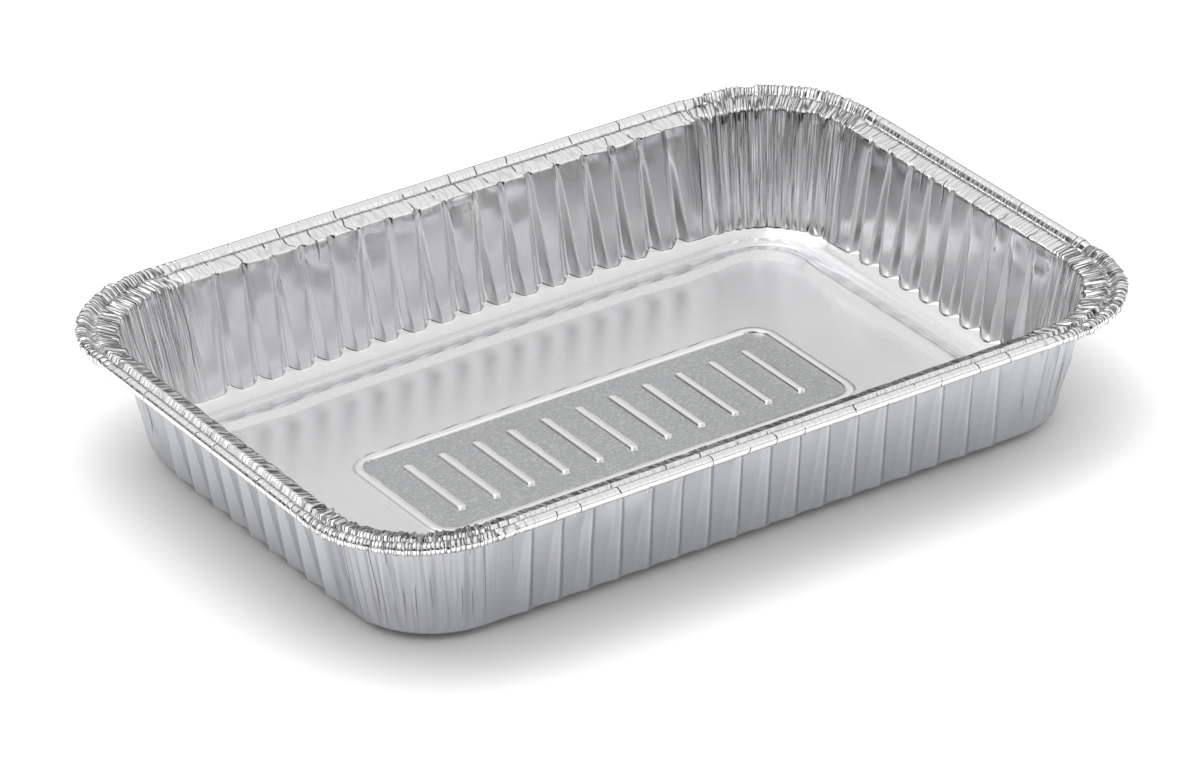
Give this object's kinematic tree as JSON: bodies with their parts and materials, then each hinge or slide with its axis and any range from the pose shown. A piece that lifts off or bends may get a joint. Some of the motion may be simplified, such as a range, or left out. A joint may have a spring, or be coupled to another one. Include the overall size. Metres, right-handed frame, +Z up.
{
  "type": "foil drip pan",
  "caption": "Shallow rectangular aluminium foil pan with rounded corners, pleated sloping walls, a flat flange and a rolled rim, for catching drips.",
  "frame": {"origin": "middle of the underside, on the surface that the pan rests on", "axes": "X along the length, Y across the width, Z up"},
  "size_m": [0.216, 0.155, 0.034],
  "materials": {
    "foil": "bright rolled foil, bare"
  },
  "bodies": {
    "root": {"foil_pan": "foil"}
  },
  "joints": []
}
